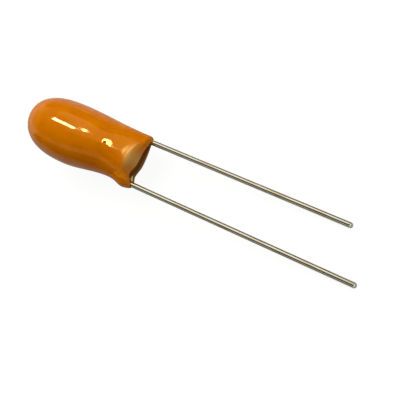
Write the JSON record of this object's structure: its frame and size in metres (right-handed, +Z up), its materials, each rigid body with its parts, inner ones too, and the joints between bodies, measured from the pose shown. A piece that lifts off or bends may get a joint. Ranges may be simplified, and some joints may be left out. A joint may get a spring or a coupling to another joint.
{
  "type": "tantalum capacitor",
  "caption": "Dipped radial tantalum capacitor: a glossy mustard bead of resin round a sintered anode, with two straight tinned wire leads of unequal length.",
  "frame": {"origin": "middle of the part's box on the floor that it lies on", "axes": "+X along the leads towards their free ends, +Y towards the negative (shorter) lead, +Z up from the floor"},
  "size_m": [0.04, 0.007, 0.0067],
  "materials": {
    "resin": "gloss",
    "sintered_tantalum": "matte",
    "tantalum_wire": "satin",
    "manganese_dioxide": "matte",
    "graphite": "satin",
    "silver": "satin",
    "washer": "matte",
    "solder": "satin",
    "tinned_wire": "gloss"
  },
  "bodies": {
    "root": {"resin_coating": "resin", "anode_pellet": "sintered_tantalum", "riser_wire": "tantalum_wire", "manganese_dioxide_layer": "manganese_dioxide", "graphite_layer": "graphite", "silver_layer": "silver", "insulating_washer": "washer", "solder_joint": "solder", "positive_lead": "tinned_wire", "negative_lead": "tinned_wire"}
  },
  "joints": []
}
